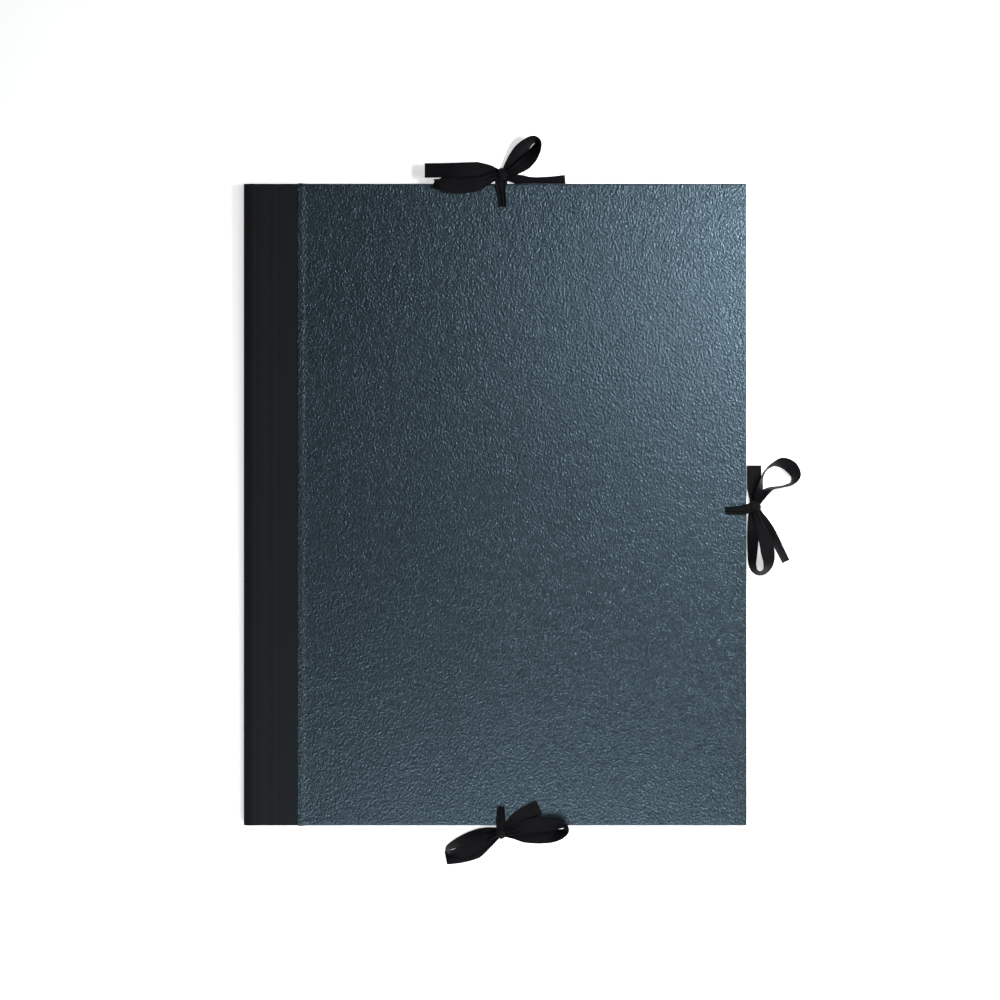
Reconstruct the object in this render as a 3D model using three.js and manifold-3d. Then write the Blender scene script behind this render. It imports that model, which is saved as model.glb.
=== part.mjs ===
// Art portfolio: two leatherette covers joined by a cloth spine and tied shut with three ribbon bows.
// Millimetres, +Z up. It lies flat and shut on its back cover. The origin is under the middle of
// the covers, at the height of the lowest fold of the covering, X runs away from the spine and Y
// runs up the cover.

import * as THREE from 'three';
import { mergeVertices } from 'three/addons/utils/BufferGeometryUtils.js';
import Module from 'manifold-3d';

const wasm = await Module();
wasm.setup();

// Covers
const coverWidth = 259;
const coverHeight = 330.5;
const boardThickness = 2;
const paperThickness = 0.25;
const turnInWidth = 10;
const coverGap = 0.5;

// Lining pasted inside each cover
const liningThickness = 0.25;
const liningMargin = 4;
const liningStep = 0.25;

// Cloth spine
const clothThickness = 0.25;
const spineDepth = 6.25;
const clothShown = 28;
const clothLap = 3.5;
const lapStep = 0.25;
const foldClearance = 0.25;
const spineSmoothness = 6;
const hingeReach = 13;
const hingeEndClearance = 0.5;
const hingeNoseClearance = 0.25;

// Ribbons and the slits that they pass through
const ribbonWidth = 7.5;
const ribbonThickness = 0.375;
const foldedWidth = 3.375;
const gluedLength = 20;
const slitLength = 4;
const slitWidth = 1.5;
const seatDepth = 0.625;
const seatClearance = 0.375;
const pocketDepth = 1.125;
const pocketWidth = 7;
const pocketLength = 5.5;
const ribbonBend = 0.9;
const ribbonLift = 0.1;
const stepsPerStation = 3;
const steepRun = 0.75;
const knotFacets = 10;

// Place of each pair of ribbons: how far the slit lies from the cover's edge and from the
// middle of that edge
const topSlitInset = 12;
const topSlitX = 4;
const sideSlitInset = 11;
const sideSlitY = -3;
const bottomSlitInset = 10;
const bottomSlitX = 3;

// How far a cutting block runs past the piece that it cuts, and how close two corners of a
// piece may lie before they count as one
const overrun = 1;
const mergeDistance = 0.001;

// Half sizes and the edges of the boards
const halfWidth = coverWidth / 2;
const halfHeight = coverHeight / 2;
const edgeThickness = Math.max(paperThickness, clothThickness);
const boardHalfHeight = halfHeight - edgeThickness;
const boardForeEdge = halfWidth - edgeThickness;
const boardSpineEdge = spineDepth - halfWidth;
const paperEdge = clothShown - halfWidth;
const clothEdge = paperEdge + clothLap;

// Layers, each as a distance from the middle plane between the covers
const liningFace = coverGap / 2;
const turnInFace = liningFace + liningThickness;
const boardInner = turnInFace + edgeThickness;
const boardOuter = boardInner + boardThickness;
const clothOuter = boardOuter + clothThickness;
const coverOuter = boardOuter + paperThickness;
const middle = clothOuter + paperThickness;

const leatherette = new THREE.MeshStandardMaterial({ color: 0x38424a, roughness: 0.45 });
const cloth = new THREE.MeshStandardMaterial({ color: 0x17191b, roughness: 0.9 });
const greyboard = new THREE.MeshStandardMaterial({ color: 0x8a8478, roughness: 0.95 });
const liningPaper = new THREE.MeshStandardMaterial({ color: 0x1f2123, roughness: 0.85 });
const ribbonCloth = new THREE.MeshStandardMaterial({ color: 0x0c0d0f, roughness: 0.7 });

const portfolio = new THREE.Group();

function addPiece(name, geometry, material) {
  const piece = new THREE.Mesh(geometry, material);
  piece.name = name;
  portfolio.add(piece);
}

// A closed solid from a closed geometry, and back
function toSolid(geometry) {
  geometry.deleteAttribute('normal');
  geometry.deleteAttribute('uv');
  const merged = mergeVertices(geometry, mergeDistance);
  const mesh = new wasm.Mesh({
    numProp: 3,
    vertProperties: new Float32Array(merged.attributes.position.array),
    triVerts: new Uint32Array(merged.index.array),
  });
  return new wasm.Manifold(mesh);
}

function toGeometry(solid) {
  const mesh = solid.getMesh();
  const geometry = new THREE.BufferGeometry();
  geometry.setAttribute('position', new THREE.BufferAttribute(mesh.vertProperties, mesh.numProp));
  geometry.setIndex(new THREE.BufferAttribute(mesh.triVerts, 1));
  geometry.computeVertexNormals();
  return geometry;
}

// A block on one side of the middle plane, from ranges along X and Y and away from the plane
function block(side, xRange, yRange, layerRange) {
  const [x0, x1] = xRange;
  const [y0, y1] = yRange;
  const [layer0, layer1] = layerRange;
  const geometry = new THREE.BoxGeometry(x1 - x0, y1 - y0, layer1 - layer0);
  geometry.translate((x0 + x1) / 2, (y0 + y1) / 2, middle + side * (layer0 + layer1) / 2);
  return toSolid(geometry);
}

// A sheet pasted round the head and tail of a board, and round its fore edge where it reaches it.
// It lies outside another sheet where under is not zero, and is turned in by reach.
function wrappedSheet(side, xRange, under, thickness, reach) {
  const [xFrom, xTo] = xRange;
  const atForeEdge = xTo >= boardForeEdge;
  const outside = under + thickness;
  const xEnd = atForeEdge ? boardForeEdge + outside : xTo;
  const xInside = atForeEdge ? boardForeEdge + under : xTo + overrun;
  const xWindow = atForeEdge ? boardForeEdge - reach : xTo + overrun;
  const yEnd = boardHalfHeight + outside;
  const yInside = boardHalfHeight + under;
  const yWindow = boardHalfHeight - reach;
  const sheet = block(side, [xFrom, xEnd], [-yEnd, yEnd], [boardInner - outside, boardOuter + outside]);
  const inside = block(
    side,
    [xFrom - overrun, xInside],
    [-yInside, yInside],
    [boardInner - under, boardOuter + under],
  );
  const window = block(
    side,
    [xFrom - overrun, xWindow],
    [-yWindow, yWindow],
    [boardInner - outside - overrun, boardInner],
  );
  return sheet.subtract(inside).subtract(window);
}

// Three places round the covers where a pair of ribbons is tied. A place is given along the edge,
// outward past the edge, and up from the middle plane.
const ties = {
  top: {
    inset: topSlitInset,
    corner: new THREE.Vector2(topSlitX, halfHeight),
    along: new THREE.Vector2(1, 0),
    out: new THREE.Vector2(0, 1),
  },
  side: {
    inset: sideSlitInset,
    corner: new THREE.Vector2(halfWidth, sideSlitY),
    along: new THREE.Vector2(0, -1),
    out: new THREE.Vector2(1, 0),
  },
  bottom: {
    inset: bottomSlitInset,
    corner: new THREE.Vector2(bottomSlitX, -halfHeight),
    along: new THREE.Vector2(-1, 0),
    out: new THREE.Vector2(0, -1),
  },
};

function place(tie, along, out, up) {
  const spot = tie.corner.clone().addScaledVector(tie.along, along).addScaledVector(tie.out, out);
  return new THREE.Vector3(spot.x, spot.y, middle + up);
}

// A block at a tie, from its reach along the edge each way and its ranges outward and in depth
function tieBlock(tie, side, alongReach, outRange, layerRange) {
  const from = place(tie, -alongReach, outRange[0], 0);
  const to = place(tie, alongReach, outRange[1], 0);
  const xRange = [Math.min(from.x, to.x), Math.max(from.x, to.x)];
  const yRange = [Math.min(from.y, to.y), Math.max(from.y, to.y)];
  return block(side, xRange, yRange, layerRange);
}

// The room that a ribbon takes in a cover: its slit, the pocket where it is folded narrow and
// the shallow seat where its end is glued flat under the lining
function ribbonRoom(tie, side) {
  const slitOuterSide = slitWidth / 2 - tie.inset;
  const slit = tieBlock(
    tie,
    side,
    slitLength / 2,
    [slitOuterSide - slitWidth, slitOuterSide],
    [liningFace, coverOuter + overrun],
  );
  const pocket = tieBlock(
    tie,
    side,
    pocketWidth / 2,
    [-tie.inset - pocketLength, slitOuterSide],
    [turnInFace, boardInner + pocketDepth],
  );
  const seat = tieBlock(
    tie,
    side,
    ribbonWidth / 2 + seatClearance,
    [-tie.inset - gluedLength - seatClearance, slitOuterSide],
    [turnInFace, boardInner + seatDepth],
  );
  return slit.add(pocket).add(seat);
}

function cutRibbonRooms(solid, side) {
  let cut = solid;
  for (const tie of Object.values(ties)) {
    cut = cut.subtract(ribbonRoom(tie, side));
  }
  return cut;
}

function board(side) {
  const yRange = [-boardHalfHeight, boardHalfHeight];
  const slab = block(side, [boardSpineEdge, boardForeEdge], yRange, [boardInner, boardOuter]);
  return cutRibbonRooms(slab, side);
}

// The leatherette covers the board and laps over the edge of the cloth as a low ridge. The lap is
// trimmed short inside so that the lining needn't climb over it.
function covering(side) {
  const lapReach = liningMargin - liningStep;
  const sheet = wrappedSheet(side, [clothEdge, boardForeEdge], 0, paperThickness, turnInWidth);
  const step = wrappedSheet(
    side,
    [clothEdge, clothEdge + lapStep],
    0,
    clothThickness + paperThickness,
    lapReach,
  );
  const lap = wrappedSheet(side, [paperEdge, clothEdge + lapStep], clothThickness, paperThickness, lapReach);
  return cutRibbonRooms(sheet.add(step).add(lap), side);
}

// The lining lies on the turn-ins round its rim and steps down on the bare board inside them
function lining(side) {
  const xRim = [boardSpineEdge + liningMargin, boardForeEdge - liningMargin];
  const yRim = boardHalfHeight - liningMargin;
  const xBoard = [boardSpineEdge + hingeReach, boardForeEdge - turnInWidth];
  const yBoard = boardHalfHeight - turnInWidth;
  const rim = block(side, xRim, [-yRim, yRim], [liningFace, turnInFace]);
  const field = block(side, xBoard, [-yBoard, yBoard], [liningFace, boardInner]);
  const sunk = block(
    side,
    [xBoard[0] + liningStep, xBoard[1] - liningStep],
    [liningStep - yBoard, yBoard - liningStep],
    [liningFace - overrun, boardInner - liningThickness],
  );
  return rim.add(field).subtract(sunk);
}

// The fold of the spine seen from its end: from the board down to the nose and back. Its first
// points lie on the board, and the curve starts just clear of the board's edge.
function foldPath(reach, layer, noseX, fullness) {
  const bendX = boardSpineEdge - foldClearance;
  const depth = bendX - noseX;
  const curve = new THREE.CubicBezierCurve(
    new THREE.Vector2(bendX, layer),
    new THREE.Vector2(bendX - depth / 2, layer),
    new THREE.Vector2(noseX, fullness),
    new THREE.Vector2(noseX, 0),
  );
  const front = [new THREE.Vector2(boardSpineEdge + reach, layer), ...curve.getPoints(spineSmoothness)];
  const back = front.slice(0, -1).reverse();
  return [...front, ...back.map((point) => new THREE.Vector2(point.x, -point.y))];
}

// The same path moved towards the inside of the fold
function insetPath(path, distance) {
  const normals = path.slice(1).map((point, index) => {
    const run = point.clone().sub(path[index]).normalize();
    return new THREE.Vector2(-run.y, run.x);
  });
  return path.map((point, index) => {
    const before = normals[Math.max(index - 1, 0)];
    const after = normals[Math.min(index, normals.length - 1)];
    const normal = before.clone().add(after).normalize();
    return point.clone().addScaledVector(normal, distance / normal.dot(before));
  });
}

function foldedStrip(path, thickness, yRange) {
  const shape = new THREE.Shape([...path, ...insetPath(path, thickness).reverse()]);
  const length = yRange[1] - yRange[0];
  const geometry = new THREE.ExtrudeGeometry(shape, { depth: length, bevelEnabled: false });
  geometry.rotateX(Math.PI / 2);
  geometry.translate(0, yRange[1], middle);
  return toSolid(geometry);
}

// The cloth spine is one piece: pasted over both boards, folded flat between them, and turned in
// at head and tail, where it is double
function spineCloth() {
  const noseFullness = clothOuter / 2;
  const fold = foldPath(hingeReach, clothOuter, -halfWidth, noseFullness);
  const clothEnd = boardHalfHeight + clothThickness;
  let solid = foldedStrip(fold, clothThickness, [-clothEnd, clothEnd]);
  for (const side of [1, -1]) {
    solid = solid.add(wrappedSheet(side, [boardSpineEdge, clothEdge], 0, clothThickness, turnInWidth));
  }
  const spineFold = foldPath(0, clothOuter, -halfWidth, noseFullness);
  const turnInStart = boardHalfHeight - turnInWidth;
  solid = solid.add(foldedStrip(spineFold, 2 * clothThickness, [turnInStart, clothEnd]));
  solid = solid.add(foldedStrip(spineFold, 2 * clothThickness, [-clothEnd, -turnInStart]));
  return solid;
}

function hingeCloth() {
  const noseX = 2 * clothThickness + hingeNoseClearance - halfWidth;
  const fold = foldPath(hingeReach, boardInner, noseX, boardInner);
  const end = boardHalfHeight - turnInWidth - hingeEndClearance;
  return foldedStrip(fold, clothThickness, [-end, end]);
}

// Stations of a ribbon are [along, out, up, turn, width]. Turn is in degrees: a ribbon at 0 lies
// flat and at 90 stands on its edge. A ribbon that is narrower than its full width is folded.
const firstOfTurnAndWidth = 3;

function anchoredStations(tie, side) {
  const slit = -tie.inset;
  const seated = boardInner + seatDepth / 2;
  const pocketed = boardInner + pocketDepth / 2;
  const foldedThickness = ribbonWidth * ribbonThickness / foldedWidth;
  const lying = coverOuter + ribbonLift + foldedThickness / 2;
  const bendStart = ribbonBend * (1 - Math.SQRT1_2);
  const stations = [
    [slit - gluedLength, seated, ribbonWidth],
    [slit - gluedLength / 2, seated, ribbonWidth],
    [slit - pocketLength - ribbonBend, seated, ribbonWidth],
    [slit - pocketLength / 2, pocketed, foldedWidth],
    [slit - ribbonBend, pocketed, foldedWidth],
    [slit - bendStart, pocketed + bendStart, foldedWidth],
    [slit, pocketed + ribbonBend, foldedWidth],
    [slit, lying - ribbonBend, foldedWidth],
    [slit + bendStart, lying - bendStart, foldedWidth],
    [slit + ribbonBend, lying, foldedWidth],
  ];
  return stations.map(([out, layer, width]) => [0, out, side * layer, 0, width]);
}

// The free part of each ribbon. The strand runs from the cover into the knot, the loop leaves the
// knot and comes back to it, and the tail leaves it and ends in a clean cut. The knot is a packed
// lump, given by its centre and its reach along the edge, outward and up.
const bows = {
  top: {
    front: {
      knot: { centre: [-0.6, 4.3, 1.5], reach: [2.9, 3.9, 2.4] },
      strand: [
        [0, -6, 3.5, 0, 4.4],
        [-0.1, -1, 3.6, 0, 5.2],
        [-0.3, 0.8, 3.5, 0, 5],
        [-0.5, 2.4, 2.8, 0, 4.6],
        [-0.6, 4.3, 1.5, 0, 4],
      ],
      loop: [
        [-0.6, 3.6, 0.8, 0, 3],
        [-3.6, 3.2, 1, 0, 3.4],
        [-7.5, 3.6, 1.7, 0, 5.4],
        [-13, 4.1, 2.7, 0, 7.5],
        [-20, 3.4, 3.5, 0, 7.5],
        [-27, 1.2, 3.6, 0, 7],
        [-32.6, -0.1, 3.6, 0, 5],
        [-34.4, -0.2, 3.9, 0, 4.6],
        [-35.3, -0.2, 4.8, 0, 4.6],
        [-34.4, -0.2, 5.7, 0, 4.6],
        [-32.6, -0.3, 6, 0, 5],
        [-27, -1.3, 5.8, 0, 7],
        [-20.5, -1.5, 5.3, 0, 7.5],
        [-13, -0.3, 5, 0, 7],
        [-7.5, 2, 4, 0, 4.8],
        [-3.6, 3.8, 2.6, 0, 3.6],
        [-0.6, 4.4, 1.8, 0, 3],
      ],
      tail: [
        [-0.6, 5, 1.2, 0, 3],
        [-3.8, 6.4, 1.4, 0, 3.4],
        [-7.5, 7.4, 2.5, 0, 4.8],
        [-13, 7.4, 3.8, 0, 7.5],
        [-22, 7, 4.4, 0, 7.5],
        [-31, 6.8, 3.6, 0, 7.5],
        [-40.2, 6.8, 2.4, 0, 7.5],
      ],
    },
    back: {
      knot: { centre: [0, 4.2, -2.3], reach: [2.8, 3.4, 1.2] },
      strand: [
        [0, -6, -3.5, 0, 4.4],
        [0, -0.8, -3.5, 0, 4.8],
        [0, 2, -3.1, 0, 4.4],
        [0, 4.2, -2.4, 0, 4],
      ],
      loop: [
        [0.4, 4.6, -2.5, 0, 3],
        [2, 7.6, -2.8, 0, 4.2],
        [5.4, 12.4, -2.8, 10, 6.6],
        [9, 17.4, -1.6, 40, 7.5],
        [12.6, 21.2, -0.2, 74, 7.5],
        [15.8, 23, 0, 88, 7.5],
        [18, 21.6, 0.2, 88, 7.5],
        [17.4, 18.6, 0.2, 76, 7.5],
        [15, 14.6, -0.2, 45, 7.5],
        [11.6, 10.8, -0.9, 15, 7],
        [7, 7.6, -1.5, 0, 5.2],
        [3.4, 5.6, -1.8, 0, 3.6],
        [0.4, 4.4, -1.9, 0, 3],
      ],
      tail: [
        [-0.4, 4, -2.3, 0, 3],
        [3.2, 3.4, -2.8, 0, 3.6],
        [6.2, 2.9, -3.2, 0, 4.6],
        [9.4, 1.8, -3.5, 0, 6.4],
        [14, 0.2, -3.5, 0, 7.5],
        [23, 0.2, -3.5, 0, 7.5],
        [32.4, 1.1, -3.5, 0, 7.5],
      ],
    },
  },
  side: {
    front: {
      knot: { centre: [-1.7, 4.2, 1.4], reach: [2.9, 3.4, 2.4] },
      strand: [
        [0, -6, 3.5, 0, 4],
        [-0.5, -1, 3.6, 0, 4.8],
        [-1, 0.8, 3.5, 0, 4.8],
        [-1.4, 2.3, 2.8, 0, 4.6],
        [-1.7, 4.2, 1.5, 0, 4],
      ],
      loop: [
        [-1.7, 3.2, 0.8, 0, 3],
        [1.6, 2.8, 0.8, 0, 3.2],
        [6, 3, 0.9, 15, 4.8],
        [13, 3.1, 1.1, 55, 6.8],
        [22, 2.7, 1.2, 76, 7.5],
        [28, 2.7, 1.4, 82, 7.5],
        [31.4, 4.4, 1.6, 88, 7.5],
        [32.4, 7.2, 1.8, 88, 7.5],
        [31, 9.9, 1.9, 88, 7.5],
        [27, 11.4, 1.9, 60, 7.5],
        [20.6, 10.8, 1.9, 20, 7.5],
        [13, 8.9, 1.9, 5, 6.4],
        [6, 6.4, 1.8, 0, 4.4],
        [2, 5, 1.6, 0, 3.4],
        [-1.7, 4.4, 1.5, 0, 3],
      ],
      tail: [
        [-1.7, 4.8, 0.9, 0, 3],
        [1.6, 6.6, 0.5, 0, 3.4],
        [6, 9.6, 0.1, 10, 4.4],
        [12.4, 13.4, -0.4, 45, 6.4],
        [19.4, 17, -0.4, 60, 7.5],
        [26.4, 20.5, -0.2, 62, 7.5],
      ],
    },
    back: {
      knot: { centre: [-2.4, 4.2, -2.3], reach: [2.8, 3.2, 1.2] },
      strand: [
        [0, -6, -3.5, 0, 4.4],
        [-0.4, -0.8, -3.5, 0, 4.8],
        [-1.4, 1.8, -3.1, 0, 4.4],
        [-2.4, 4.2, -2.4, 0, 4],
      ],
      loop: [
        [-2.4, 4.6, -2.4, 0, 3],
        [-6, 5.8, -2.4, 10, 3.8],
        [-10.6, 6.8, -1.2, 55, 6],
        [-15.8, 7.8, -0.2, 78, 7.5],
        [-20.6, 10, 0, 84, 7.5],
        [-23.8, 14, 0, 76, 7.5],
        [-24.6, 18.6, -0.2, 45, 7.5],
        [-22.2, 23.2, -0.4, 30, 7.5],
        [-18, 25.6, -0.2, 50, 7.5],
        [-14.2, 23.9, 0.1, 78, 7.5],
        [-12.4, 18.8, 0.2, 84, 7.5],
        [-11.4, 13.6, 0.1, 80, 7],
        [-9, 9.8, -0.6, 50, 5.4],
        [-5.6, 6.8, -1.5, 10, 3.8],
        [-2.4, 4.8, -1.9, 0, 3],
      ],
      tail: [
        [-2.4, 4, -2.4, 0, 3],
        [-6, 3.8, -3, 0, 4],
        [-11, 4.2, -3.5, 0, 7.5],
        [-17, 4.2, -3.5, 0, 7.5],
        [-23.3, 4.2, -3.5, 0, 7.5],
      ],
    },
  },
  bottom: {
    front: {
      knot: { centre: [-0.1, 3.7, 1.4], reach: [2.9, 3.3, 2.4] },
      strand: [
        [0, -5, 3.5, 0, 4.2],
        [0, -1, 3.6, 0, 4.8],
        [0, 0.8, 3.5, 0, 4.8],
        [0, 2.2, 2.8, 0, 4.6],
        [-0.1, 3.7, 1.5, 0, 4],
      ],
      loop: [
        [-0.1, 4.2, 0.6, 0, 3],
        [-3.4, 4.4, 0.6, 0, 3.4],
        [-7, 4.6, 0.9, 0, 5],
        [-12, 5.2, 1.3, 0, 7.2],
        [-19, 5.6, 1.9, 0, 7.5],
        [-26, 5.2, 3, -30, 7.5],
        [-31, 4.4, 4.6, -76, 6.6],
        [-33.8, 2.6, 5.8, -88, 5.6],
        [-33.4, 0.2, 6.2, -88, 5.6],
        [-30, -1, 5.9, -66, 6.4],
        [-24.4, -1, 5.3, -20, 7.4],
        [-17, -0.4, 5, 0, 7.5],
        [-11, 0.9, 4.3, 0, 6],
        [-6.6, 2.4, 3.2, 0, 4.2],
        [-3.2, 3.3, 2.2, 0, 3.4],
        [-0.1, 3.8, 1.8, 0, 3],
      ],
      tail: [
        [-0.1, 3.2, 1.2, 0, 3],
        [-2.4, 2.2, 3, 0, 3],
        [-4.8, -0.7, 4.5, 0, 4],
        [-8.8, -4, 3.7, 0, 6.4],
        [-14, -6.8, 3.5, 0, 7.5],
        [-19.8, -9.4, 3.5, 0, 7.5],
      ],
    },
    back: {
      knot: { centre: [0.4, 3.7, -2.3], reach: [2.8, 3.2, 1.2] },
      strand: [
        [0, -5, -3.5, 0, 4.2],
        [0, -0.8, -3.5, 0, 4.6],
        [0.2, 1.6, -3.1, 0, 4.4],
        [0.4, 3.7, -2.4, 0, 4],
      ],
      loop: [
        [0.4, 3.4, -2.4, 0, 3],
        [4.6, 3.2, -2.4, 10, 3.8],
        [10.4, 4.4, -1.4, 50, 6],
        [17.6, 7, -0.4, 74, 7.5],
        [24, 9.8, -0.2, 84, 7.5],
        [27.4, 12.2, -0.2, 88, 7.5],
        [26.6, 14.6, -0.2, 88, 7.5],
        [23.4, 14.6, -0.4, 66, 7.5],
        [18.4, 13, -0.9, 30, 7.5],
        [12.6, 10.4, -1.4, 5, 7],
        [7.6, 7.4, -1.6, 0, 5],
        [3.8, 5, -1.8, 0, 3.6],
        [0.4, 3.9, -1.9, 0, 3],
      ],
      tail: [
        [0.4, 4.2, -2.5, 0, 3],
        [3.2, 6.6, -2.9, 0, 3.6],
        [7, 9.8, -3.2, 0, 5],
        [12.6, 13.6, -3.5, 0, 7.5],
        [20, 15.8, -3.3, 8, 7.5],
        [28.4, 17, -2.3, 28, 7.5],
      ],
    },
  },
};

// The sections of a ribbon along a smooth line through its stations. Each is a thin rectangle
// whose area stays the same where the ribbon is folded narrow.
function ribbonSections(tie, stations) {
  const line = new THREE.CatmullRomCurve3(stations.map(([along, out, up]) => place(tie, along, out, up)));
  const steps = (stations.length - 1) * stepsPerStation;
  const up = new THREE.Vector3(0, 0, 1);
  const across = new THREE.Vector3().crossVectors(up, line.getTangent(0)).normalize();
  const sections = [];
  for (let step = 0; step <= steps; step += 1) {
    const index = Math.min(Math.floor(step / stepsPerStation), stations.length - 2);
    const share = step / stepsPerStation - index;
    const [turnFrom, widthFrom] = stations[index].slice(firstOfTurnAndWidth);
    const [turnTo, widthTo] = stations[index + 1].slice(firstOfTurnAndWidth);
    const turn = THREE.MathUtils.lerp(turnFrom, turnTo, share);
    const width = THREE.MathUtils.lerp(widthFrom, widthTo, share);
    const thickness = ribbonWidth * ribbonThickness / width;
    const centre = line.getPoint(step / steps);
    const run = line.getTangent(step / steps);
    const level = new THREE.Vector3().crossVectors(up, run);
    if (level.length() > steepRun) {
      across.copy(level).multiplyScalar(level.dot(across) < 0 ? -1 : 1);
    }
    across.addScaledVector(run, -across.dot(run)).normalize();
    const broad = across.clone().applyAxisAngle(run, THREE.MathUtils.degToRad(turn));
    const thick = new THREE.Vector3().crossVectors(run, broad);
    sections.push([[1, 1], [-1, 1], [-1, -1], [1, -1]].map(([sideways, rise]) => {
      const corner = centre.clone().addScaledVector(broad, sideways * width / 2);
      return corner.addScaledVector(thick, rise * thickness / 2);
    }));
  }
  return sections;
}

// One run of a ribbon as a closed solid through its sections. Both broad faces are split along
// the same diagonal, so that they stay apart where the ribbon twists.
function sweptSolid(sections) {
  const faces = [2, 1, 0, 3, 2, 0];
  for (let step = 0; step < sections.length - 1; step += 1) {
    for (let side = 0; side < 4; side += 1) {
      const a = 4 * step + side;
      const b = 4 * step + (side + 1) % 4;
      if (side === 2) {
        faces.push(a, b, a + 4, b, b + 4, a + 4);
      } else {
        faces.push(a, b, b + 4, a, b + 4, a + 4);
      }
    }
  }
  const last = 4 * (sections.length - 1);
  faces.push(last, last + 1, last + 2, last, last + 2, last + 3);
  const geometry = new THREE.BufferGeometry().setFromPoints(sections.flat());
  geometry.setIndex(faces);
  return toSolid(geometry);
}

function knotCore(tie, knot) {
  const reach = place(tie, ...knot.reach).sub(place(tie, 0, 0, 0));
  const geometry = new THREE.SphereGeometry(1, knotFacets, knotFacets);
  geometry.scale(Math.abs(reach.x), Math.abs(reach.y), reach.z);
  geometry.translate(...place(tie, ...knot.centre));
  return toSolid(geometry);
}

// A ribbon is one solid: its runs all end inside the knot that they are tied into
function ribbon(tie, side, bow) {
  const strand = ribbonSections(tie, [...anchoredStations(tie, side), ...bow.strand]);
  const loop = ribbonSections(tie, bow.loop);
  const tail = ribbonSections(tie, bow.tail);
  const loopTip = Math.floor(loop.length / 2);
  let solid = knotCore(tie, bow.knot);
  for (const run of [strand, loop.slice(0, loopTip + 2), loop.slice(loopTip), tail]) {
    solid = solid.add(sweptSolid(run));
  }
  return solid;
}

for (const [cover, side] of [['back', -1], ['front', 1]]) {
  addPiece(`${cover}_board`, toGeometry(board(side)), greyboard);
  addPiece(`${cover}_covering`, toGeometry(covering(side)), leatherette);
  addPiece(`${cover}_lining`, toGeometry(lining(side)), liningPaper);
  for (const [name, tie] of Object.entries(ties)) {
    const tied = ribbon(tie, side, bows[name][cover]);
    addPiece(`${name}_${cover}_ribbon`, toGeometry(tied), ribbonCloth);
  }
}
addPiece('spine_cloth', toGeometry(spineCloth()), cloth);
addPiece('hinge_cloth', toGeometry(hingeCloth()), cloth);

export default portfolio;
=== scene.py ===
"""Dresses the art portfolio: ribbons, leatherette coverings, cloth spine, boards and linings.

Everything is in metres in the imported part's own frame. X runs from the spine to the fore edge,
Y up the cover and Z out of the front cover.
"""

import math

import bpy
import numpy as np
from mathutils import Matrix, Vector


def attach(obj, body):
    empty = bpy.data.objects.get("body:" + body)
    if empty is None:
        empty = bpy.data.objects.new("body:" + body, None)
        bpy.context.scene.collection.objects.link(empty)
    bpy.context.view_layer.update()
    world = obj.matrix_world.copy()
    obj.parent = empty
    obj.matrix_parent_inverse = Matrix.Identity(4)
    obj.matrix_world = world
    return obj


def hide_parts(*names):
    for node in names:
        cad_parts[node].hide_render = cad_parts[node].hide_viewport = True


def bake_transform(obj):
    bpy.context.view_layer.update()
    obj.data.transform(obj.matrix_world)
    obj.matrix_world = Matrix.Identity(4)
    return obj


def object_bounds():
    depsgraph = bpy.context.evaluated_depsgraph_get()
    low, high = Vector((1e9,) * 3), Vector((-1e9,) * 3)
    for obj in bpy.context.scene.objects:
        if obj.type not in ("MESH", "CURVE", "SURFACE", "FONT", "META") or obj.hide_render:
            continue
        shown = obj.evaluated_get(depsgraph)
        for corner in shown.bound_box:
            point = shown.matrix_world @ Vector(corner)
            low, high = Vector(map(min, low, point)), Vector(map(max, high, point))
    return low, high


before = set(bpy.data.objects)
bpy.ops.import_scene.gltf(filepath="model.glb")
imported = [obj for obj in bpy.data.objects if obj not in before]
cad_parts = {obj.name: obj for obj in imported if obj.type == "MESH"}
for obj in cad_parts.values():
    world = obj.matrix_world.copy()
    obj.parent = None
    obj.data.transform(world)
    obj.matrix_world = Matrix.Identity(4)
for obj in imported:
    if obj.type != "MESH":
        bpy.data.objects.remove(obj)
CAD_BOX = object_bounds()

bl_info = {
    "name": "Art Portfolio",
    "version": (1, 0, 0),
    "blender": (4, 5, 0),
    "location": "3D View > Sidebar > Portfolio",
    "description": "Builds the covers, cloth spine and ribbon ties of a flat art portfolio",
    "category": "Add Mesh",
}

MM = 0.001

# Edges that turn by more than this are shaded as creases
SHARP_ANGLE = math.radians(50)

# Covers, in millimetres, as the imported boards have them
HALF_WIDTH = 129.5
HALF_HEIGHT = 165.25
BOARD_FORE_EDGE = 129.25
BOARD_SPINE_EDGE = -123.25
BOARD_HALF_HEIGHT = 165.0
BOARD_THICKNESS = 2.0
BOARD_INNER = 0.75
BOARD_OUTER = 2.75
SHEET = 0.25
TURN_IN = 10.0
LINING_MARGIN = 4.0
MIDDLE = 3.25
LAP_EDGE = -101.5
LAP_END = -99.6
LAP_SLOPE = 2.6
HINGE_REACH = 13.0
NOSE_ROOM = 0.75

# Ribbons, in millimetres: how far along a ribbon each anchored station lies from its slit, its
# layer from the middle plane between the covers, and its width
RIBBON_WIDTH = 7.5
ANCHORED = [
    (-20.0, 1.0625, 7.5),
    (-10.0, 1.0625, 7.5),
    (-6.4, 1.0625, 7.5),
    (-2.75, 1.3125, 3.4),
    (-0.9, 1.3125, 3.4),
    (-0.264, 1.576, 3.4),
    (0.0, 2.2125, 3.4),
    (0.0, 2.6167, 3.4),
    (0.264, 3.2527, 3.4),
    (0.9, 3.5167, 3.4),
]

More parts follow.
